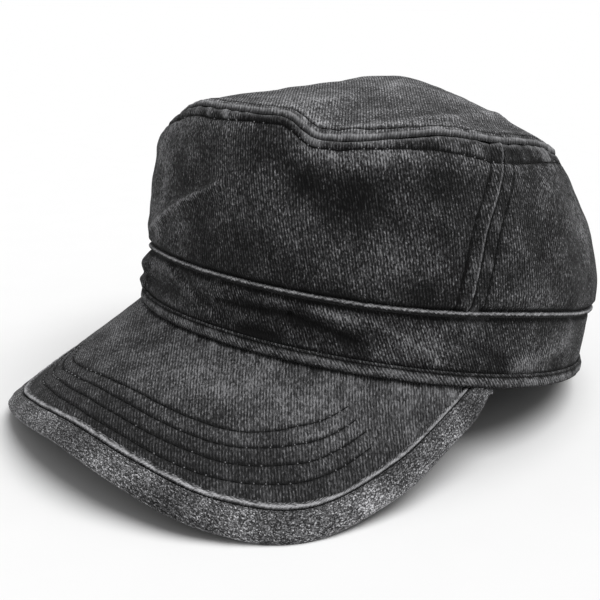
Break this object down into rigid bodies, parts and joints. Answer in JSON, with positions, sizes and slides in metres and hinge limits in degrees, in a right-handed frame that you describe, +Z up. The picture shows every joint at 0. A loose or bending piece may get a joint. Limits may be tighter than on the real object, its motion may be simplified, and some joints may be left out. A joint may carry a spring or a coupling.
{
  "type": "patrol cap",
  "caption": "Soft patrol cap with an upright crown, a domed top panel, a band with piping and a curved peak with a bound edge.",
  "frame": {"origin": "centre of the cap's footprint on the surface that it rests on", "axes": "+Z up from that surface, -Y the way the peak points, +X the wearer's left"},
  "size_m": [0.1836, 0.2536, 0.1239],
  "materials": {
    "crown_twill": "washed black cotton twill with lighter worn patches",
    "band_twill": "washed black cotton twill, creased",
    "peak_twill": "washed black cotton twill over a stiff board, stitched in rows",
    "worn_fold": "cotton twill worn pale along a fold",
    "heather_binding": "light grey heather binding with the weave showing"
  },
  "bodies": {
    "root": {"front_panel": "crown_twill", "rear_panel": "crown_twill", "side_seam_left": "crown_twill", "side_seam_right": "crown_twill", "top_panel": "crown_twill", "band": "band_twill", "band_piping": "worn_fold", "band_welt": "band_twill", "peak": "peak_twill", "peak_rim": "worn_fold", "peak_binding": "heather_binding"}
  },
  "joints": []
}
